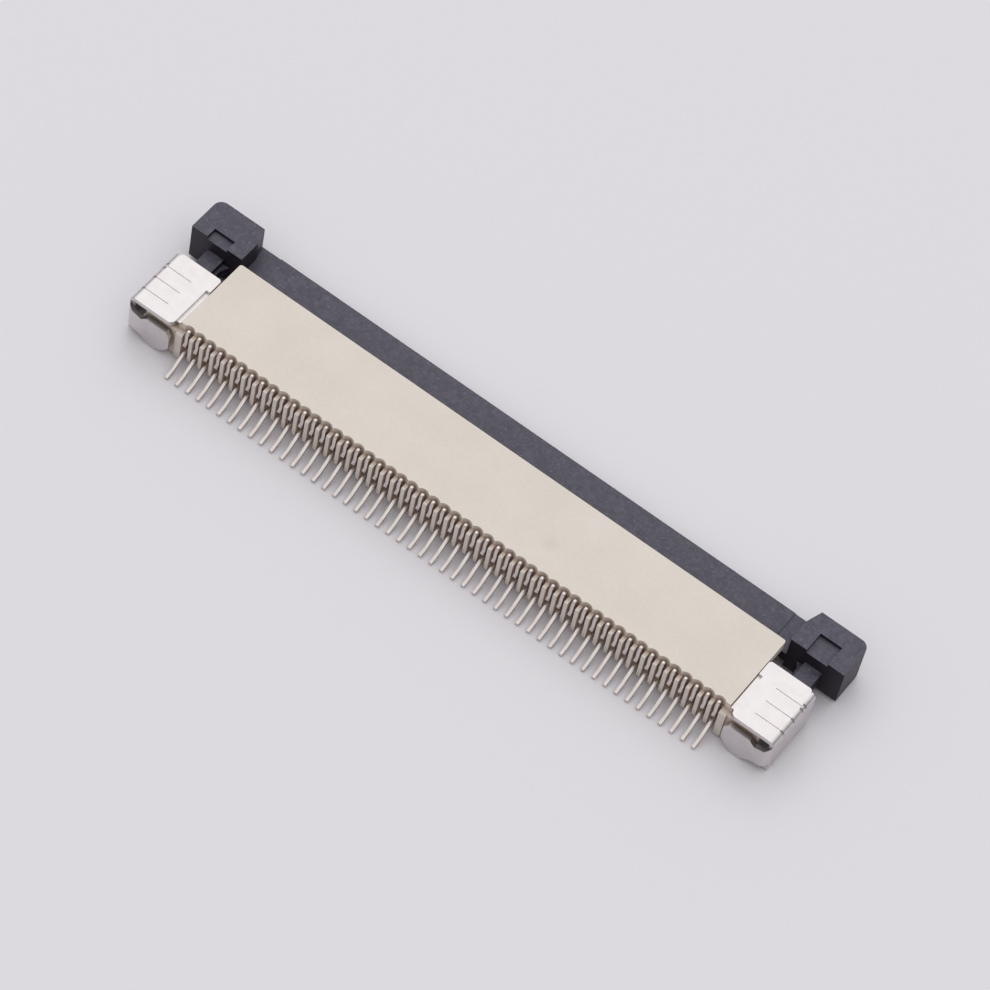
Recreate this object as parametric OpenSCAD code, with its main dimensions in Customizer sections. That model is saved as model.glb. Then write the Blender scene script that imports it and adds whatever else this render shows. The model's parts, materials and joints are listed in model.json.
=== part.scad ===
// Right-angle surface-mount connector for flat flexible cable, slide-lock type.
// Millimetres. X runs along the row of contacts, +Y is the mating side where
// the cable goes in, -Y is the side of the solder tails, and Z = 0 is the board.
// The slider is drawn out, ready for the cable. The origin is on the board, in the
// middle of the outline. Lengths from front to rear start at the comb's front face.

/* [Contact row] */
// Number of contacts
contact_count = 50; // [10:1:54]
// Distance from one contact to the next
pitch = 0.5; // [0.48:0.01:0.8]
// Thickness of the contact strip
contact_t = 0.15; // [0.1:0.01:0.18]
// Running gap on each side of a contact in its slot
contact_fit = 0.015; // [0.01:0.005:0.03]

/* [Housing] */
// Top of the moulded top plate above the board
housing_h = 1.97; // [1.9:0.01:2.2]
// Thickness of the top plate over the cable slot
roof_t = 0.47; // [0.4:0.01:0.6]
// Top plate beyond the middle of the outermost contact, at each end
plate_end = 0.43; // [0.4:0.01:0.8]
// Distance of the top plate's front edge behind the comb's face
plate_set_back = 0.27; // [0.24:0.01:0.32]
// Depth of the top plate from front to rear
plate_d = 3.59; // [3.2:0.01:3.7]
// Radius of the top plate's rear corners
plate_r = 0.1; // [0.05:0.01:0.3]
// Radius of the scallop in the front edge at each contact
notch_r = 0.3; // [0.28:0.01:0.4]
// Depth of the scallops
notch_d = 0.1; // [0.06:0.01:0.14]
// Width of one rib of the comb
rib_w = 0.16; // [0.12:0.01:0.24]
// Top of the ribs
rib_top = 1.66; // [1.55:0.01:1.72]
// Radius of the rounding at the top of a rib's front edge
rib_round = 0.05; // [0.02:0.01:0.16]
// Underside of the ribs
rib_bottom = 0.35; // [0.25:0.01:0.4]
// Thickness of the wall that holds the contacts, with the comb
wall_d = 0.72; // [0.66:0.01:0.8]
// Underside of the floor above the board
floor_bottom = 0.1; // [0.05:0.01:0.12]
// Upper face of the floor
floor_top = 0.44; // [0.4:0.01:0.46]
// Depth of the floor from the comb's face
floor_d = 3.72; // [3.2:0.01:3.8]
// Thickness of the walls at the ends of the cable slot
end_wall_t = 0.4; // [0.3:0.01:0.42]
// Length of the blocks at the ends of the comb
end_block_len = 1.75; // [1.2:0.01:1.8]
// Top of the end blocks
block_top = 1.57; // [1.52:0.01:1.6]
// Chamfer along the front edge of the end blocks
block_edge = 0.06; // [0.02:0.01:0.12]
// How far the end blocks step back behind the fittings
block_step = 0.08; // [0.04:0.01:0.14]
// Width of the hole through the comb's wall between a lug and its tail
hole_w = 0.3; // [0.2:0.01:0.32]
// Underside of the holes
hole_bottom = 0.74; // [0.72:0.01:0.84]
// Depth of the holes behind the ribs
hole_d = 0.3; // [0.1:0.01:0.34]
// Thickness of the end blocks from front to rear
end_block_t = 0.44; // [0.3:0.01:0.5]
// How far the end walls stop short of the rear of the fittings
end_wall_short = 0.04; // [0.02:0.01:0.3]
// How far the partitions stop short of the free ends of the upper beams
partition_short = 0.35; // [0.25:0.01:0.8]
// How far the partitions reach below the upper beams
partition_extra = 0.1; // [0.04:0.01:0.14]
// Play of a lower beam in its groove, at the free end and over its top
groove_play = 0.05; // [0.03:0.01:0.1]

/* [Contacts] */
// Top of the contact's post above the board
post_top = 1.87; // [1.82:0.01:1.95]
// Depth of the post from front to rear
post_d = 0.2; // [0.14:0.01:0.24]
// Chamfer at the edges of the post's top
post_edge = 0.04; // [0.02:0.01:0.06]
// Distance of the post's middle behind the comb's face
post_set_back = 0.19; // [0.17:0.01:0.22]
// Height where the strip below the post comes out of the comb
strip_top = 1.67; // [1.6:0.01:1.72]
// How far the strip lies back behind the comb's face
strip_back = 0.05; // [0.02:0.01:0.08]
// Underside of the lug at the end of the strip
lug_bottom = 1.06; // [0.96:0.01:1.2]
// Height of the lug
lug_h = 0.22; // [0.12:0.01:0.3]
// How far the lug stands out of the comb's face
lug_proud = 0.05; // [0.02:0.005:0.08]
// Depth of the upright web inside the wall
web_d = 0.34; // [0.26:0.01:0.38]
// Depth of the notch in the web behind the hole
web_notch = 0.2; // [0.06:0.01:0.22]
// Distance of the upper spring beam's free end behind the comb's face
upper_beam_len = 2.87; // [2.4:0.01:3]
// Distance of the lower beam's free end behind the comb's face
lower_beam_len = 2.62; // [2.2:0.01:2.7]
// Thickness of the beams
beam_t = 0.16; // [0.12:0.01:0.2]
// How far the touching point stands below the upper beam
bump_h = 0.14; // [0.08:0.01:0.16]
// Length of the upper beam's hooked end with the touching point
bump_len = 0.3; // [0.24:0.01:0.34]
// Gap between the beams and the faces that they lie along
beam_gap = 0.03; // [0.02:0.01:0.04]
// Where the tail leaves the housing, height of its upper face
tail_root = 0.64; // [0.55:0.01:0.7]
// Distance from the comb's face to the bend of the tail
tail_bend = 0.6; // [0.4:0.01:0.7]
// Height of the upper face at the bend of the tail
tail_bend_h = 0.25; // [0.16:0.01:0.4]
// Distance from the comb's face to the tip of the tail
tail_len = 1.02; // [0.9:0.01:1.3]
// Thickness of the tail
tail_t = 0.13; // [0.1:0.01:0.15]
// Length of the flat under the tip of the tail
tail_flat = 0.1; // [0.05:0.01:0.2]

/* [Slider] */
// Play between the slider and the housing
slide_gap = 0.1; // [0.06:0.01:0.14]
// Distance that the slider moves when it is pushed home
slide_travel = 1.2; // [0.8:0.01:1.25]
// Gap left between the heads and the fittings when the slider is home
stop_gap = 0.06; // [0.02:0.01:0.1]
// Depth of the heads from front to rear
head_d = 1.72; // [1.5:0.01:2]
// Width of a head along the row
head_w = 2.39; // [2.2:0.01:2.6]
// Top of the heads above the board
head_top = 2; // [1.9:0.01:2.2]
// Underside of the heads above the board
head_bottom = 0.2; // [0.15:0.01:0.3]
// Radius of the outer rear corner of a head
head_r = 0.37; // [0.2:0.01:0.5]
// Chamfer at the inner rear corner, along the row
head_chamfer_x = 0.22; // [0.1:0.01:0.3]
// Chamfer at the inner rear corner, front to rear
head_chamfer_y = 0.69; // [0.4:0.01:0.8]
// Distance of the thumbnail pocket from the inner side of the head
pocket_in = 0.7; // [0.5:0.01:0.8]
// Width of the pocket
pocket_w = 0.95; // [0.7:0.01:1.1]
// Length of the pocket in the right head
pocket_len = 0.93; // [0.5:0.01:1.1]
// Length of the shorter pocket in the left head
pocket_len_left = 0.48; // [0.3:0.01:0.8]
// Depth of the pockets
pocket_d = 0.16; // [0.08:0.01:0.25]
// Top of the bar between the heads
bar_top = 1; // [0.98:0.01:1.04]
// Thickness of the bar
bar_t = 0.5; // [0.46:0.01:0.52]
// How far the bar stays back from the rear of the heads
bar_set_back = 0.02; // [0:0.01:0.2]
// Length of the smooth pad beside each head
pad_len = 0.72; // [0.4:0.01:1]
// How far the pads lie below the bar
pad_drop = 0.04; // [0.02:0.01:0.06]
// Chamfer along the rear edges of the bar
bar_edge = 0.05; // [0.02:0.01:0.1]
// Length of the tongue that goes into the slot
tongue_len = 1.7; // [1.5:0.01:1.8]
// Thickness of the tongue
tongue_t = 0.4; // [0.3:0.01:0.42]
// How far the tongue lies below the top of the bar
tongue_drop = 0.05; // [0.04:0.01:0.08]
// Length of the bevel that leads the tongue in
bevel_len = 0.35; // [0.2:0.01:0.6]
// Depth of that bevel at the tip
bevel_d = 0.16; // [0.08:0.01:0.2]
// Chamfer under the tip of the tongue
nose = 0.08; // [0.04:0.01:0.1]
// Distance of the tongue from the inner side of the heads
tongue_in = 0.27; // [0.15:0.01:0.4]

/* [Slider arms] */
// Distance of an arm from the inner side of the head
arm_in = 0.79; // [0.7:0.01:0.9]
// Width of an arm
arm_w = 0.76; // [0.6:0.01:0.8]
// Length of an arm in front of the head
arm_len = 2.2; // [1.8:0.01:2.2]
// Top of the arms
arm_top = 1.25; // [1.1:0.01:1.4]
// Height of the arms
arm_h = 0.7; // [0.5:0.01:0.7]
// Chamfer at the corners of an arm's tip
arm_chamfer = 0.15; // [0.05:0.01:0.25]
// Top of the rail on the inner side of each arm
rail_top = 1; // [0.9:0.01:1.04]
// Width of the rail
rail_w = 0.13; // [0.08:0.01:0.15]
// Width of the rail's foot at the head
rail_foot = 0.31; // [0.2:0.01:0.32]
// Length of the rail's foot
rail_foot_len = 0.28; // [0.1:0.01:0.4]
// Distance of the rail's end from the tip of the arm
rail_short = 0.5; // [0.3:0.01:0.9]

/* [Hold-down fittings] */
// Thickness of the sheet metal
sheet_t = 0.2; // [0.16:0.01:0.22]
// Upper face of the fittings above the board
fitting_top = 2; // [1.99:0.01:2.1]
// Gap between a fitting and the side of the top plate
fitting_gap = 0.04; // [0.03:0.01:0.06]
// Width of a fitting along the row, to the outer face of its side wall
fitting_w = 2.14; // [2.1:0.01:2.4]
// Length of the fitting's top from front to rear
fitting_len = 2.83; // [2.4:0.01:2.85]
// How far the top reaches in front of the comb's face
fitting_ahead = 0.07; // [0:0.01:0.12]
// Radius of the rear corners of the top
fitting_r = 0.14; // [0.06:0.01:0.2]
// Radius of the inner front corner of the top
fitting_front_r = 0.22; // [0.1:0.01:0.3]
// Distance of the ledge's front end from the front of the top
fitting_cut = 0.32; // [0.2:0.01:0.4]
// Outer radius of the bend between the top and the side wall
bend_r = 0.24; // [0.23:0.01:0.32]
// How much shorter the side wall is at the rear
wall_short = 0.1; // [0.05:0.01:0.3]
// Lower edge of the side wall above the board
wall_bottom = 0.2; // [0.15:0.01:0.3]
// Length of the solder foot under the side wall
foot_len = 0.28; // [0.2:0.01:0.5]
// Width of the coined ledge beside the top plate
ledge_w = 0.17; // [0.1:0.01:0.2]
// How far the ledge lies below the top
ledge_drop = 0.12; // [0.06:0.01:0.14]
// Length of the ledge
ledge_len = 2.09; // [1.6:0.01:2.3]
// Gap between the front wall and the end blocks
front_gap = 0.03; // [0.02:0.01:0.05]
// Outer radius of the corner between side wall and front wall
wrap_r = 0.26; // [0.22:0.01:0.35]
// Top of the front wall
front_top = 1.5; // [1.4:0.01:1.6]
// Lower edge of the front wall
front_bottom = 0.04; // [0.02:0.01:0.15]
// Distance of the front wall's deep part, the tab, from the inner side of the top
tab_in = 0.12; // [0.04:0.01:0.2]
// Length of the tab along the row
tab_len = 1.12; // [1:0.01:1.2]
// Length of the slope at the upper inner corner of the tab
tab_slope = 0.18; // [0.1:0.01:0.3]
// Length of the rounded lower corners of the tab
tab_round = 0.34; // [0.2:0.01:0.4]
// Height of the slope at the upper inner corner of the tab
tab_shoulder = 0.23; // [0.1:0.01:0.4]
// Height of the slope at the lower inner corner of the tab
tab_chin = 0.56; // [0.3:0.01:0.6]
// Distance of the front wall's narrow waist from its inner side
waist = 1.48; // [1.42:0.01:1.55]
// Height of the arch under the waist, above the board
arch_h = 0.35; // [0.25:0.01:0.4]
// Height of the arch where the front wall turns into the side wall
arch_end = 0.42; // [0.38:0.01:0.5]
// How far the top of the waist lies below the top of the tab
waist_drop = 0.22; // [0.05:0.01:0.3]
// Distance from a score line to the next
score_step = 0.68; // [0.5:0.01:0.75]
// Length of the score lines
score_len = 1.07; // [0.8:0.01:1.2]
// Width and depth of the score lines
score_w = 0.03; // [0.02:0.005:0.05]
// Distance of the middle score line in front of the middle of the top
score_shift = 0.1; // [0:0.01:0.2]
// Length of the creases at the ends of the score lines, over the bend
crease_len = 0.24; // [0.1:0.01:0.3]
// Width of a crease
crease_w = 0.1; // [0.04:0.01:0.14]
// Depth of a crease
crease_d = 0.06; // [0.02:0.005:0.08]
// Distance between the two creases of the rear score line
crease_step = 0.22; // [0.16:0.01:0.3]

/* [Hidden] */
slop = 0.01;
row_half = (contact_count - 1) * pitch / 2;
front_sum = tail_len + fitting_ahead;
rear_sum = fitting_len + slide_travel + stop_gap + head_d;
comb_front = (front_sum - rear_sum) / 2;
plate_front = comb_front + plate_set_back;
plate_rear = plate_front + plate_d;
wall_rear = comb_front + wall_d;
floor_rear = comb_front + floor_d;
post_y = comb_front + post_set_back;
upper_beam_end = comb_front + upper_beam_len;
lower_beam_end = comb_front + lower_beam_len;
fitting_front = comb_front - fitting_ahead;
fitting_rear = fitting_front + fitting_len;
head_front = fitting_rear + slide_travel + stop_gap;
ledge_rear = fitting_front + ledge_len;
plate_half = row_half + plate_end;
roof_z = housing_h - roof_t;
slot_w = contact_t + 2 * contact_fit;
comb_half = row_half + (pitch - rib_w) / 2;
comb_rear = post_y + post_d / 2 + contact_fit;
web_front = comb_rear;
web_rear = web_front + web_d;
head_in = plate_half + slide_gap;
head_out = head_in + head_w;
bar_half = head_in + head_chamfer_x;
head_rear = head_front + head_d;
bar_rear = head_rear - bar_set_back;
tongue_top = bar_top - tongue_drop;
tongue_half = head_in - tongue_in;
fit_in = plate_half + fitting_gap;
fit_out = fit_in + fitting_w;
sheet_z = fitting_top - sheet_t;
bend_x = fit_out - bend_r;
bend_z = fitting_top - bend_r;
tab_x = fit_in + tab_in;
arm_x = head_in + arm_in;
end_wall_in = head_in;
end_wall_rear = fitting_rear - end_wall_short;
front_out = comb_front - front_gap - sheet_t;
partition_end = upper_beam_end - partition_short;
partition_z = roof_z - beam_t - partition_extra;
groove_end = lower_beam_end + groove_play;
groove_z = floor_top - beam_t - beam_gap - groove_play;
post_r = post_d / 2;
round_fn = 48;

function contact_x(i) = (i - (contact_count + 1) / 2) * pitch;
function contact_name(i) = str("contact_", i < 10 ? "0" : "", i);

// A rectangle from one corner to the other
module span2(x0, y0, x1, y1) {
    translate([x0, y0]) square([x1 - x0, y1 - y0]);
}

// A box from one corner to the other
module span3(x0, y0, z0, x1, y1, z1) {
    translate([x0, y0, z0]) cube([x1 - x0, y1 - y0, z1 - z0]);
}

// Its children at both ends of the row
module both_ends() {
    children();
    mirror([1, 0, 0]) children();
}

// What a rounding of radius r takes away at a corner that points to +X and +Y,
// or the other way along each axis whose flip is 1
module corner(x, y, r, flip = [0, 0]) {
    translate([x, y, 0])
        mirror([flip[0], 0, 0]) mirror([0, flip[1], 0])
            difference() {
                span2(-r, -r, slop, slop);
                translate([-r, -r]) circle(r = r, $fn = round_fn);
            }
}

// A slab over the whole row with one slot for each contact
module slotted(half, y0, y1, z0, z1, w, slot_y0, slot_y1) {
    translate([0, 0, z0])
        linear_extrude(height = z1 - z0)
            difference() {
                span2(-half, y0, half, y1);
                for (i = [1 : contact_count])
                    translate([contact_x(i) - w / 2, slot_y0])
                        square([w, slot_y1 - slot_y0]);
            }
}

module top_plate() {
    translate([0, 0, roof_z])
        linear_extrude(height = roof_t)
            difference() {
                span2(-plate_half, plate_front, plate_half, plate_rear);
                both_ends() corner(plate_half, plate_rear, plate_r);
                for (i = [1 : contact_count])
                    translate([contact_x(i), plate_front + notch_d - notch_r])
                        circle(r = notch_r, $fn = round_fn);
            }
}

// Section of a rib of the comb, as [y, z] points, rounded at the top
module rib_section() {
    span2(comb_front, rib_bottom, comb_rear + slop, rib_top - rib_round);
    span2(comb_front + rib_round, rib_bottom, comb_rear + slop, rib_top);
    translate([comb_front + rib_round, rib_top - rib_round])
        circle(r = rib_round, $fn = round_fn);
}

// Section of the block at each end of the comb, as [y, z] points from its front face
module block_section(front) {
    polygon([
        [front, floor_bottom],
        [front, block_top - block_edge],
        [front + block_edge, block_top],
        [comb_front + end_block_t, block_top],
        [comb_front + end_block_t, floor_bottom]
    ]);
}

module housing() {
    color([0.85, 0.82, 0.77]) {
        top_plate();
        // comb of ribs that shows on the tail side
        for (i = [1 : contact_count - 1])
            translate([contact_x(i) + (pitch - rib_w) / 2, 0, 0])
                rotate([90, 0, 90]) linear_extrude(height = rib_w) rib_section();
        // wall in which the webs of the contacts are held, with a hole over each tail
        difference() {
            slotted(plate_half, comb_rear, wall_rear, groove_z, roof_z + slop,
                    slot_w, comb_rear - 1, wall_rear + 1);
            for (i = [1 : contact_count])
                translate([contact_x(i) - hole_w / 2, comb_rear - slop, hole_bottom])
                    cube([hole_w, hole_d + slop, lug_bottom - hole_bottom]);
        }
        // partitions between the upper beams
        slotted(plate_half, wall_rear - slop, partition_end, partition_z, roof_z + slop,
                slot_w, wall_rear - 1, partition_end + 1);
        // floor, with a groove for each lower beam
        slotted(plate_half, comb_rear, floor_rear, groove_z, floor_top,
                slot_w, comb_rear - 1, groove_end);
        span3(-plate_half, comb_rear, floor_bottom, plate_half, floor_rear, groove_z + slop);
        both_ends() {
            // wall at the end of the cable slot, with lips at floor and roof
            span3(end_wall_in, comb_front + end_block_t - slop, floor_bottom,
                  end_wall_in + end_wall_t, end_wall_rear, sheet_z);
            span3(plate_half - slop, plate_front, roof_z,
                  end_wall_in + slop, end_wall_rear, sheet_z);
            span3(plate_half - slop, plate_front, floor_bottom,
                  end_wall_in + slop, end_wall_rear, floor_top);
            // block at the end of the comb, with a step behind the front wall of the fitting
            translate([comb_half, 0, 0])
                rotate([90, 0, 90])
                    linear_extrude(height = end_block_len) block_section(comb_front + block_step);
            translate([comb_half, 0, 0])
                rotate([90, 0, 90])
                    linear_extrude(height = fit_in - comb_half) block_section(comb_front);
        }
    }
}

// Section of a contact's spring, as [y, z] points: web, lower beam and upper beam
module spring_section() {
    beam_z = roof_z - beam_gap;
    web_z = groove_z + beam_gap;
    bump_z = beam_z - beam_t - bump_h;
    polygon([
        [web_front + contact_fit, web_z],
        [lower_beam_end, web_z],
        [lower_beam_end, web_z + beam_t - beam_gap],
        [web_rear + beam_t / 2, web_z + beam_t],
        [web_rear, web_z + beam_t * 1.5],
        [web_rear, beam_z - beam_t * 1.5],
        [web_rear + beam_t / 2, beam_z - beam_t],
        [upper_beam_end - bump_len, beam_z - beam_t],
        [upper_beam_end - bump_len * 0.4, bump_z],
        [upper_beam_end - bump_len * 0.2, bump_z],
        [upper_beam_end, bump_z + bump_h / 2],
        [upper_beam_end - bump_len * 0.4, beam_z],
        [web_front + contact_fit, beam_z],
        [web_front + contact_fit, lug_bottom],
        [web_front + contact_fit + web_notch, lug_bottom - slop],
        [web_front + contact_fit + web_notch, hole_bottom],
        [web_front + contact_fit, tail_root]
    ]);
}

// Section of a contact's post with the strip and the lug that show in the comb
module post_section() {
    lug_front = comb_front - lug_proud;
    polygon([
        [post_y + post_r, post_top - post_edge],
        [post_y + post_r - post_edge, post_top],
        [post_y - post_r + post_edge, post_top],
        [post_y - post_r, post_top - post_edge],
        [post_y - post_r, strip_top + post_set_back - post_r],
        [comb_front + strip_back, strip_top],
        [comb_front + strip_back, lug_bottom + lug_h],
        [lug_front, lug_bottom + lug_proud],
        [comb_front, lug_bottom],
        [web_front + contact_fit + slop, lug_bottom],
        [web_front + contact_fit + slop, roof_z - beam_gap],
        [post_y + post_r, roof_z - beam_gap]
    ]);
}

// Section of a contact's solder tail, bent down to the board
module tail_section() {
    bend_y = comb_front - tail_bend;
    tip_y = comb_front - tail_len;
    polygon([
        [web_front + contact_fit + slop, tail_root],
        [comb_front, tail_root],
        [bend_y, tail_bend_h],
        [tip_y, tail_t],
        [tip_y, 0],
        [tip_y + tail_flat, 0],
        [bend_y, tail_bend_h - tail_t],
        [comb_front, tail_root - tail_t * 1.2],
        [web_front + contact_fit + slop, tail_root - tail_t * 1.6]
    ]);
}

module contact(i) {
    color([0.84, 0.8, 0.78])
        translate([contact_x(i) - contact_t / 2, 0, 0])
            rotate([90, 0, 90])
                linear_extrude(height = contact_t) {
                    spring_section();
                    post_section();
                    tail_section();
                }
}

// Plan of the head at the right end
module head_plan() {
    difference() {
        span2(head_in, head_front, head_out, head_rear);
        polygon([
            [head_in - slop, head_rear + slop],
            [head_in - slop, head_rear - head_chamfer_y],
            [head_in, head_rear - head_chamfer_y],
            [head_in + head_chamfer_x, head_rear],
            [head_in + head_chamfer_x, head_rear + slop]
        ]);
        corner(head_out, head_rear, head_r);
    }
}

// Plan of the arm at the right end
module arm_plan() {
    tip = head_front - arm_len;
    polygon([
        [arm_x, head_front + slop],
        [arm_x, tip + arm_chamfer],
        [arm_x + arm_chamfer, tip],
        [arm_x + arm_w - arm_chamfer, tip],
        [arm_x + arm_w, tip + arm_chamfer],
        [arm_x + arm_w, head_front + slop]
    ]);
}

// Plan of the rail beside the arm, flared where it meets the head
module rail_plan() {
    rail_tip = head_front - arm_len + rail_short;
    polygon([
        [arm_x - rail_foot, head_front + slop],
        [arm_x - rail_foot, head_front],
        [arm_x - rail_w, head_front - rail_foot_len],
        [arm_x - rail_w, rail_tip + rail_w],
        [arm_x + slop, rail_tip],
        [arm_x + slop, head_front + slop]
    ]);
}

module head(pocket) {
    difference() {
        translate([0, 0, head_bottom])
            linear_extrude(height = head_top - head_bottom) head_plan();
        span3(head_in + pocket_in, head_front - 1, head_top - pocket_d,
              head_in + pocket_in + pocket_w, head_front + pocket, head_top + 1);
    }
    translate([0, 0, arm_top - arm_h])
        linear_extrude(height = arm_h) arm_plan();
    translate([0, 0, arm_top - arm_h])
        linear_extrude(height = rail_top - arm_top + arm_h) rail_plan();
}

// Section of the bar with its tongue, as [y, z] points
module bar_section(top) {
    polygon([
        [head_front, bar_top - bar_t],
        [bar_rear - bar_edge, bar_top - bar_t],
        [bar_rear, bar_top - bar_t + bar_edge],
        [bar_rear, top - bar_edge],
        [bar_rear - bar_edge, top],
        [head_front, top]
    ]);
}

module tongue_section() {
    tip = head_front - tongue_len;
    polygon([
        [head_front + slop, tongue_top - tongue_t],
        [head_front + slop, tongue_top],
        [tip + bevel_len, tongue_top],
        [tip, tongue_top - bevel_d],
        [tip, tongue_top - tongue_t + nose],
        [tip + nose, tongue_top - tongue_t]
    ]);
}

module slider() {
    color([0.29, 0.28, 0.33]) {
        head(pocket_len);
        mirror([1, 0, 0]) head(pocket_len_left);
        translate([-bar_half, 0, 0])
            rotate([90, 0, 90])
                linear_extrude(height = 2 * bar_half) bar_section(bar_top - pad_drop);
        translate([-(head_in - pad_len), 0, 0])
            rotate([90, 0, 90])
                linear_extrude(height = 2 * (head_in - pad_len)) bar_section(bar_top);
        translate([-tongue_half, 0, 0])
            rotate([90, 0, 90])
                linear_extrude(height = 2 * tongue_half) tongue_section();
    }
}

// Section of the top and the side wall, as [x, z], with the bend between them
module fitting_section() {
    span2(fit_in, sheet_z, bend_x + slop, fitting_top);
    span2(fit_out - sheet_t, wall_bottom, fit_out, bend_z + slop);
    intersection() {
        difference() {
            translate([bend_x, bend_z]) circle(r = bend_r, $fn = round_fn);
            translate([bend_x, bend_z]) circle(r = bend_r - sheet_t, $fn = round_fn);
        }
        span2(bend_x, bend_z, fit_out, fitting_top);
    }
}

// What the stamping tool takes away at the corners of the top, in plan
module fitting_trim() {
    span2(fit_in - slop, fitting_front - slop, fit_in + ledge_w, fitting_front + fitting_cut);
    corner(fit_in + ledge_w, fitting_front, fitting_front_r, [1, 1]);
    corner(fit_in, fitting_rear, fitting_r, [1, 0]);
    // step back of the side wall, with a rounded corner beside it
    span2(bend_x, fitting_rear - wall_short, fit_out + slop, fitting_rear + slop);
    corner(bend_x + slop, fitting_rear, fitting_r);
}

// Score lines pressed across the outer half of the top, and their creases in the bend
module fitting_scores() {
    mid = (fitting_front + fitting_rear) / 2 - score_shift;
    rear = mid + score_step;
    for (y = [mid - score_step, mid, rear])
        translate([bend_x - score_len, y - score_w / 2, fitting_top - score_w])
            cube([score_len + bend_r, score_w, 1]);
    for (y = [mid - score_step, mid, rear - crease_step / 2, rear + crease_step / 2])
        translate([bend_x, y, bend_z])
            rotate([0, -45, 0])
                translate([bend_r, 0, 0])
                    cube([2 * crease_d, crease_w, crease_len], center = true);
}

// Outline of the front wall, as [x, z]: the tab, the waist and the corner
module front_outline() {
    tab_end = tab_x + tab_len;
    polygon([
        [tab_x, front_bottom + tab_chin],
        [tab_x, front_top - tab_shoulder],
        [tab_x + tab_slope, front_top],
        [tab_end, front_top],
        [fit_in + waist, front_top - waist_drop],
        [fit_out - wrap_r, front_top - waist_drop / 2],
        [fit_out + slop, bend_z],
        [fit_out + slop, arch_end + wrap_r / 2],
        [fit_out - wrap_r, arch_end],
        [fit_in + waist, arch_h],
        [tab_end, (front_bottom + arch_h) / 2],
        [tab_end - tab_round / 2, front_bottom],
        [tab_x + tab_round * 2, front_bottom],
        [tab_x + tab_round, front_bottom + tab_chin / 4]
    ]);
}

// Plan of the front wall and of the corner that joins it to the side wall
module front_plan() {
    inner = comb_front - front_gap;
    cx = fit_out - wrap_r;
    cy = front_out + wrap_r;
    span2(fit_in, front_out, cx + slop, inner);
    span2(fit_out - sheet_t, cy - slop, fit_out, cy + wrap_r);
    intersection() {
        difference() {
            translate([cx, cy]) circle(r = wrap_r, $fn = round_fn);
            translate([cx, cy]) circle(r = wrap_r - sheet_t, $fn = round_fn);
        }
        span2(cx, front_out, fit_out, cy);
    }
}

module fitting() {
    difference() {
        translate([0, fitting_rear, 0])
            rotate([90, 0, 0])
                linear_extrude(height = fitting_rear - fitting_front) fitting_section();
        translate([0, 0, floor_bottom])
            linear_extrude(height = fitting_top) fitting_trim();
        span3(fit_in - slop, fitting_front - slop, fitting_top - ledge_drop,
              fit_in + ledge_w, ledge_rear, fitting_top + 1);
        // front edge of the side wall, which lies behind the edge of the top
        span3(fit_out - sheet_t - slop, fitting_front - slop, 0,
              fit_out + slop, comb_front, bend_z);
        fitting_scores();
    }
    // solder foot
    span3(fit_out - sheet_t, comb_front, 0,
          fit_out, comb_front + foot_len, wall_bottom + slop);
    intersection() {
        linear_extrude(height = fitting_top) front_plan();
        translate([0, fitting_front + 1, 0])
            rotate([90, 0, 0]) linear_extrude(height = 2) front_outline();
    }
}

module fitting_left() {
    color([0.93, 0.91, 0.91]) mirror([1, 0, 0]) fitting();
}

module fitting_right() {
    color([0.93, 0.91, 0.91]) fitting();
}

housing();
slider();
fitting_left();
fitting_right();
for (i = [1 : contact_count])
    contact(i);
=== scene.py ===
import json
import math
import bmesh
import bpy
from mathutils import Matrix, Vector


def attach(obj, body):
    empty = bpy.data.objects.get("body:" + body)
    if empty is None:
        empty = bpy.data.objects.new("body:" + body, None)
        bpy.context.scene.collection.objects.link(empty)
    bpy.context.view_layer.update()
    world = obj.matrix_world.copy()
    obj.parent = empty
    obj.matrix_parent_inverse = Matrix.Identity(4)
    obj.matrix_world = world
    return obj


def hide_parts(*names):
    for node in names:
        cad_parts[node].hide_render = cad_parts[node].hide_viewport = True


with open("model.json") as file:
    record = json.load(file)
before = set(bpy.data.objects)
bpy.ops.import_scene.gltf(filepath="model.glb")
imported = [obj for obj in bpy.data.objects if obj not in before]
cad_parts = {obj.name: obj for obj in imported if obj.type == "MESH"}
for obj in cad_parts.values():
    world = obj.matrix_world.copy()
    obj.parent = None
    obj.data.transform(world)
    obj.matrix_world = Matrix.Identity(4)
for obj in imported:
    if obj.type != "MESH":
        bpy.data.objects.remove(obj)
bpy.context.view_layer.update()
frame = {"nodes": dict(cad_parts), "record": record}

mm = 0.001
print("frame loaded:", len(frame["nodes"]), "nodes")


cameraView = {
    "azimuth": 25.396,      # degrees round Z, from the solder-tail side
    "elevation": 55.817,    # degrees above the board
    "roll": 13.321,         # the row of contacts runs from corner to corner of the frame
    "distance": 172.557,    # mm from the target
    "aside": 1.2182,        # mm
    "above": 0.8834,        # mm
    "target": (-0.05, -0.94, 0.0),
    "lens": 168.65,         # mm, on a sensor 36 mm wide
}


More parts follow.
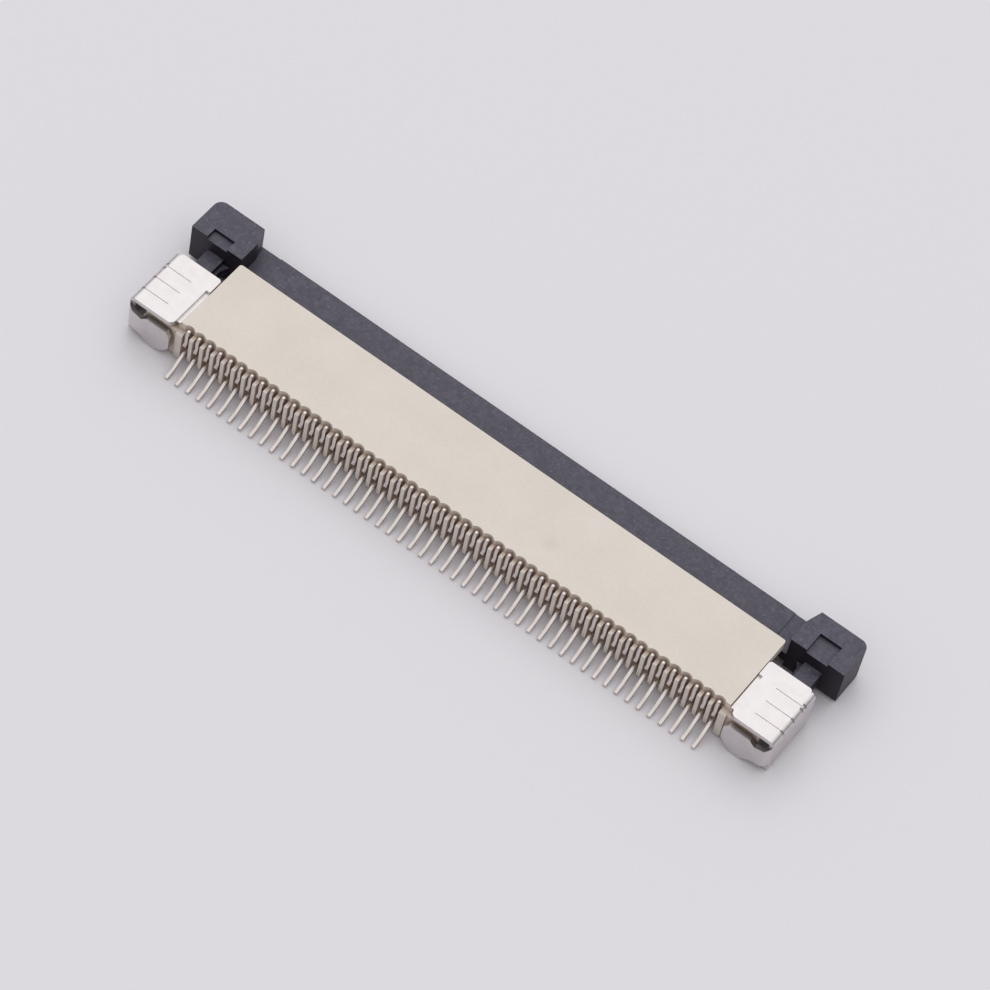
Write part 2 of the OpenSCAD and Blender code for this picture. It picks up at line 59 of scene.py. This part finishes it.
def makeCamera(v):
    a, e, r = (math.radians(v[k]) for k in ("azimuth", "elevation", "roll"))
    back = Vector((math.sin(a) * math.cos(e), -math.cos(a) * math.cos(e), math.sin(e)))
    right = Vector((math.cos(a), math.sin(a), 0))
    up = back.cross(right)
    sideways = right * math.cos(r) + up * math.sin(r)
    upward = up * math.cos(r) - right * math.sin(r)
    place = sideways * v["aside"] + upward * v["above"] + back * v["distance"] + Vector(v["target"])
    cameraData = bpy.data.cameras.new("camera")
    cameraData.lens = v["lens"]
    cameraData.sensor_width = 36
    cameraData.clip_start = 0.005
    cameraData.clip_end = 10
    camera = bpy.data.objects.new("camera", cameraData)
    bpy.context.scene.collection.objects.link(camera)
    turn = Matrix((sideways, upward, back)).transposed().to_4x4()
    camera.matrix_world = Matrix.Translation(place * mm) @ turn
    bpy.context.scene.camera = camera


makeCamera(cameraView)
print("camera placed")


def newTree(owner):
    owner.use_nodes = True
    tree = owner.node_tree
    tree.nodes.clear()
    return tree


def addNode(tree, kind, at, values=None, **settings):
    node = tree.nodes.new(kind)
    node.location = at
    for name, value in settings.items():
        setattr(node, name, value)
    for name, value in (values or {}).items():
        node.inputs[name].default_value = value
    return node


def addRamp(tree, factor, at, stops):
    ramp = addNode(tree, "ShaderNodeValToRGB", at)
    while len(ramp.color_ramp.elements) < len(stops):
        ramp.color_ramp.elements.new(0.5)
    for element, (place, color) in zip(ramp.color_ramp.elements, stops):
        element.position = place
        element.color = (*color, 1) if isinstance(color, tuple) else (color, color, color, 1)
    tree.links.new(factor, ramp.inputs["Fac"])
    return ramp.outputs["Color"]


# a light tent, dark at the horizon and brightest behind the slider
studio = {
    "tent": [(0.0, 0.12), (0.15, 0.16), (0.45, 0.60), (0.75, 0.97), (1.0, 0.97)],  # by height
    "brightSpot": (-0.3, 0.55, 0.78),
    "brightSpotEdge": (0.55, 0.95),     # cosine from the spot's middle, outer and inner
    "brightSpotStrength": 0.45,
    "softboxPower": 0.10,               # watts
    "softboxSize": 180,                 # mm
    "softboxPlace": (-150, 235, 300),   # mm
    "floorColor": (0.737, 0.715, 0.753),
    "floorSize": 900,                   # mm
}


def makeTent(s):
    world = bpy.data.worlds.new("tent")
    bpy.context.scene.world = world
    tree = newTree(world)
    link = tree.links.new
    spot = addNode(tree, "ShaderNodeTexCoord", (-1100, 0))
    split = addNode(tree, "ShaderNodeSeparateXYZ", (-900, 150))
    link(spot.outputs["Generated"], split.inputs[0])
    walls = addRamp(tree, split.outputs["Z"], (-500, 150), s["tent"])
    facing = addNode(tree, "ShaderNodeVectorMath", (-900, -150), operation="DOT_PRODUCT")
    facing.inputs[1].default_value = Vector(s["brightSpot"]).normalized()
    link(spot.outputs["Generated"], facing.inputs[0])
    outer, inner = s["brightSpotEdge"]
    glow = addNode(tree, "ShaderNodeMapRange", (-500, -150),
                   {"From Min": outer, "From Max": inner, "To Max": s["brightSpotStrength"]})
    link(facing.outputs["Value"], glow.inputs["Value"])
    light = addNode(tree, "ShaderNodeMath", (-200, 0), operation="ADD")
    link(walls, light.inputs[0])
    link(glow.outputs["Result"], light.inputs[1])
    shade = addNode(tree, "ShaderNodeBackground", (0, 0), {"Color": (1, 1, 1, 1)})
    out = addNode(tree, "ShaderNodeOutputWorld", (200, 0))
    link(light.outputs[0], shade.inputs["Strength"])
    link(shade.outputs["Background"], out.inputs["Surface"])


def makeSoftbox(s):
    lampData = bpy.data.lights.new("softbox", "AREA")
    lampData.shape = "SQUARE"
    lampData.size = s["softboxSize"] * mm
    lampData.energy = s["softboxPower"]
    lamp = bpy.data.objects.new("softbox", lampData)
    bpy.context.scene.collection.objects.link(lamp)
    lamp.visible_glossy = False
    lamp.location = Vector(s["softboxPlace"]) * mm
    lamp.rotation_euler = (-lamp.location).to_track_quat("-Z", "Y").to_euler()


def makeFloor(s):
    bpy.ops.mesh.primitive_plane_add(size=s["floorSize"] * mm, location=(0, 0, 0))
    floor = bpy.context.object
    floor.name = "floor"
    material = bpy.data.materials.new("paper")
    tree = newTree(material)
    skin = addNode(tree, "ShaderNodeBsdfDiffuse", (0, 0), {"Color": (*s["floorColor"], 1)})
    out = addNode(tree, "ShaderNodeOutputMaterial", (300, 0))
    tree.links.new(skin.outputs[0], out.inputs[0])
    floor.data.materials.append(material)


makeTent(studio)
makeSoftbox(studio)
makeFloor(studio)
print("studio ready")


# starts a finish: its shader, and the place on the piece in millimetres
def newFinish(name, look):
    material = bpy.data.materials.new(name)
    tree = newTree(material)
    skin = addNode(tree, "ShaderNodeBsdfPrincipled", (900, 0),
                   {"Roughness": look["roughness"], "Metallic": look.get("metallic", 0.0)})
    skin.inputs["Specular IOR Level"].default_value = look.get("specular", 0.5)
    out = addNode(tree, "ShaderNodeOutputMaterial", (1200, 0))
    tree.links.new(skin.outputs[0], out.inputs[0])
    spot = addNode(tree, "ShaderNodeTexCoord", (-1400, 0))
    scale = addNode(tree, "ShaderNodeMapping", (-1200, 0), {"Scale": (1000, 1000, 1000)})
    tree.links.new(spot.outputs["Object"], scale.inputs["Vector"])
    return material, tree, skin, scale.outputs[0]


def addNoise(tree, where, at, scale, detail=3.0, roughness=0.5, twist=0.0):
    grain = addNode(tree, "ShaderNodeTexNoise", at,
                    {"Scale": scale, "Detail": detail, "Roughness": roughness, "Distortion": twist})
    tree.links.new(where, grain.inputs["Vector"])
    return grain.outputs["Fac"]


def addMath(tree, at, operation, first, second):
    node = addNode(tree, "ShaderNodeMath", at, operation=operation)
    for socket, value in zip(node.inputs, (first, second)):
        if isinstance(value, (int, float)):
            socket.default_value = value
        else:
            tree.links.new(value, socket)
    return node.outputs[0]


def addMix(tree, at, factor, first, second, blend="MIX"):
    mix = addNode(tree, "ShaderNodeMix", at, data_type="RGBA", blend_type=blend)
    for name, value in (("Factor", factor), ("A", first), ("B", second)):
        socket = mix.inputs[name]
        if isinstance(value, tuple):
            socket.default_value = (*value, 1)
        elif isinstance(value, (int, float)):
            socket.default_value = value
        else:
            tree.links.new(value, socket)
    return mix.outputs["Result"]


def addBump(tree, skin, height, at, strength, depth):
    bump = addNode(tree, "ShaderNodeBump", at, {"Strength": strength, "Distance": depth * mm})
    tree.links.new(height, bump.inputs["Height"])
    tree.links.new(bump.outputs[0], skin.inputs["Normal"])


# 1 near one height of the piece, 0 elsewhere
def addLevel(tree, height, at, level, width):
    off = addMath(tree, at, "SUBTRACT", height, level)
    away = addMath(tree, (at[0] + 150, at[1]), "ABSOLUTE", off, 0)
    return addMath(tree, (at[0] + 300, at[1]), "LESS_THAN", away, width)


# painted shade: darker and warmer where the piece closes in on itself, through an ambient occlusion
# mask
def addPaintedCreviceShade(tree, at, color, look):
    shelter = addNode(tree, "ShaderNodeAmbientOcclusion", at, {"Distance": look["paintedShadeReach"] * mm},
                      samples=8)
    full, none = look["paintedShadeEdge"]
    depth = addRamp(tree, shelter.outputs["AO"], (at[0] + 200, at[1]), [(full, 1.0), (none, 0.0)])
    return addMix(tree, (at[0] + 450, at[1]), depth, color, look["paintedShadeColor"])


housingLook = {
    "light": (0.733, 0.669, 0.610),
    "dark": (0.705, 0.640, 0.575),
    # colour of the painted shade in the crevices
    "paintedShadeColor": (0.50, 0.37, 0.29),
    "paintedShadeReach": 0.5,           # mm
    "paintedShadeEdge": (0.25, 0.85),   # share of open sky where the painted crevice shade is full, and where it ends
    "scuffColor": (0.60, 0.545, 0.49),
    "scuff": (3.6, -0.84, 1.97),   # mm, a faint rub mark on the top
    "scuffReach": (0.05, 0.45),    # mm, inner and outer
    "cloudScale": 0.5,             # waves per mm
    "speckleScale": 14,
    "grainScale": 22,
    "grainStrength": 0.25,
    "grainDepth": 0.01,            # mm
    "roughness": 0.5,
    "specular": 0.35,
}


def housingFinish(v):
    material, tree, skin, where = newFinish("ivoryPlastic", v)
    cloud = addNoise(tree, where, (-900, 300), v["cloudScale"], 4)
    color = addRamp(tree, cloud, (-600, 300), [(0.35, v["dark"]), (0.65, v["light"])])
    speckle = addNoise(tree, where, (-900, 100), v["speckleScale"], 2)
    fine = addRamp(tree, speckle, (-600, 100), [(0.3, 0.95), (0.7, 1.0)])
    color = addMix(tree, (-250, 200), 1.0, color, fine, "MULTIPLY")
    away = addNode(tree, "ShaderNodeVectorMath", (-900, -100), operation="DISTANCE")
    away.inputs[1].default_value = v["scuff"]
    tree.links.new(where, away.inputs[0])
    inner, outer = v["scuffReach"]
    rub = addRamp(tree, away.outputs["Value"], (-600, -100), [(inner, 0.5), (outer, 0.0)])
    color = addMix(tree, (0, 100), rub, color, v["scuffColor"])
    # painted shade darkens and warms the colour in the crevices
    color = addPaintedCreviceShade(tree, (200, 300), color, v)
    tree.links.new(color, skin.inputs["Base Color"])
    grain = addNoise(tree, where, (-900, -400), v["grainScale"], 3)
    addBump(tree, skin, grain, (600, -300), v["grainStrength"], v["grainDepth"])
    return material


sliderLook = {
    # painted light and shade: faces pointing up get a lighter colour, the side faces a darker one as
    # if in shade
    "shadedSides": (0.015, 0.012, 0.019),
    "litTops": (0.072, 0.066, 0.092),
    "speck": (0.15, 0.15, 0.185),
    "topLevels": (2.0, 1.25, 1.0),  # mm, the heads, the arms and the bar
    "levelWidth": 0.02,             # mm
    "upwardFrom": 0.9,              # height of a unit normal from which a face is a top, painted lighter
    "swirlScale": 3.2,              # waves per mm
    "dotScale": 7.0,
    "grainScale": 9,
    "grainStrength": 0.6,
    "grainDepth": 0.03,             # mm
    "roughness": 0.5,
    "specular": 0.4,
}


def sliderFinish(v):
    material, tree, skin, where = newFinish("greyPlastic", v)
    split = addNode(tree, "ShaderNodeSeparateXYZ", (-1000, -500))
    tree.links.new(where, split.inputs[0])
    face = addNode(tree, "ShaderNodeNewGeometry", (-1000, -750))
    faceSplit = addNode(tree, "ShaderNodeSeparateXYZ", (-800, -750))
    tree.links.new(face.outputs["True Normal"], faceSplit.inputs[0])
    upward = addMath(tree, (-600, -750), "GREATER_THAN", faceSplit.outputs["Z"], v["upwardFrom"])
    levels = 0.0
    for i, level in enumerate(v["topLevels"]):
        near = addLevel(tree, split.outputs["Z"], (-800, -500 - 160 * i), level, v["levelWidth"])
        levels = addMath(tree, (-300, -500 - 160 * i), "ADD", near, levels)
    rough = addMath(tree, (-100, -600), "MULTIPLY", upward, levels)
    swirl = addNoise(tree, where, (-900, 300), v["swirlScale"], 5, 0.62, 1.2)
    darker = tuple(c * 0.75 for c in v["litTops"])
    lighter = tuple(c * 1.25 for c in v["litTops"])
    litTops = addRamp(tree, swirl, (-600, 300), [(0.3, darker), (0.5, v["litTops"]), (0.62, lighter)])
    dots = addNoise(tree, where, (-900, 100), v["dotScale"], 2, 0.5)
    dots = addRamp(tree, dots, (-600, 100), [(0.62, 0.0), (0.74, 0.8)])
    dots = addMath(tree, (-350, 0), "MULTIPLY", dots, rough)
    litTops = addMix(tree, (-200, 200), dots, litTops, v["speck"])
    # painted light and shade: upward faces take the lit top colour, all others the shaded side colour
    color = addMix(tree, (100, 100), upward, v["shadedSides"], litTops)
    tree.links.new(color, skin.inputs["Base Color"])
    grain = addNoise(tree, where, (-900, -200), v["grainScale"], 4, 0.6)
    height = addMath(tree, (300, -300), "MULTIPLY", grain, rough)
    addBump(tree, skin, height, (600, -300), v["grainStrength"], v["grainDepth"])
    return material


sheetLook = {
    "color": (0.68, 0.645, 0.65),
    "dullShare": 0.95,      # of the colour, in the duller clouds
    "roughness": 0.36,
    "metallic": 1.0,
    "cloudScale": 2.5,      # waves per mm
    "grainScale": 9,
    "grainStrength": 0.3,
    "grainDepth": 0.006,    # mm
}
contactLook = {
    "color": (0.68, 0.62, 0.59),
    "dullShare": 0.95,
    "roughness": 0.34,
    "metallic": 1.0,
    "cloudScale": 2.5,
    "grainScale": 14,
    "grainStrength": 0.3,
    "grainDepth": 0.005,
}


def tinFinish(name, v):
    material, tree, skin, where = newFinish(name, v)
    cloud = addNoise(tree, where, (-900, 200), v["cloudScale"], 4)
    dull = tuple(c * v["dullShare"] for c in v["color"])
    color = addRamp(tree, cloud, (-600, 200), [(0.35, dull), (0.6, v["color"])])
    tree.links.new(color, skin.inputs["Base Color"])
    grain = addNoise(tree, where, (-900, -200), v["grainScale"], 2)
    addBump(tree, skin, grain, (600, -300), v["grainStrength"], v["grainDepth"])
    return material


finishes = {
    "housing_plastic": housingFinish(housingLook),
    "slider_plastic": sliderFinish(sliderLook),
    "tinned_sheet": tinFinish("tinnedSheet", sheetLook),
    "contact_metal": tinFinish("tinnedContact", contactLook),
}


# the stamped contacts have tumbled edges and a domed post
contactEdges = {
    "width": 0.045,       # mm, round the post's top
    "lower": 0.5,         # share of that width on the edges below it
    "postFrom": 1.8,      # mm, where the post's top begins
    "sharpAngle": 35,     # degrees
    "weld": 0.001,        # mm
    "segments": 3,
}
bodies = frame["record"]["behaviour"]["bodies"]
bodyOf = {node: body for body, nodes in bodies.items() for node in nodes}


# a copy of a contact with its sharp edges rounded, which stands for it
def roundedContact(node, look, finish):
    form = bmesh.new()
    form.from_mesh(frame["nodes"][node].data)
    bmesh.ops.remove_doubles(form, verts=form.verts, dist=look["weld"] * mm)
    bmesh.ops.dissolve_limit(form, angle_limit=math.radians(1), verts=form.verts, edges=form.edges)
    weight = form.edges.layers.float.new("bevel_weight_edge")
    for edge in form.edges:
        if edge.calc_face_angle(0) > math.radians(look["sharpAngle"]):
            onPost = min(corner.co.z for corner in edge.verts) > look["postFrom"] * mm
            edge[weight] = 1.0 if onPost else look["lower"]
    for face in form.faces:
        face.smooth = True
    mesh = bpy.data.meshes.new(node + "_rounded")
    form.to_mesh(mesh)
    form.free()
    mesh.materials.append(finish)
    piece = bpy.data.objects.new(node + "_rounded", mesh)
    bpy.context.scene.collection.objects.link(piece)
    bevel = piece.modifiers.new("edges", "BEVEL")
    bevel.limit_method = "WEIGHT"
    bevel.width = look["width"] * mm
    bevel.segments = look["segments"]
    bevel.use_clamp_overlap = False
    bevel.harden_normals = True
    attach(piece, bodyOf[node])
    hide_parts(node)


for part in frame["record"]["subparts"]:
    finish = finishes[part["material_slot"]]
    slots = frame["nodes"][part["node"]].data.materials
    slots.clear()
    slots.append(finish)
    if part["node"].startswith("contact"):
        roundedContact(part["node"], contactEdges, finish)
print("finishes on every piece, edges of the contacts rounded")

bpy.context.scene.view_settings.view_transform = "Standard"
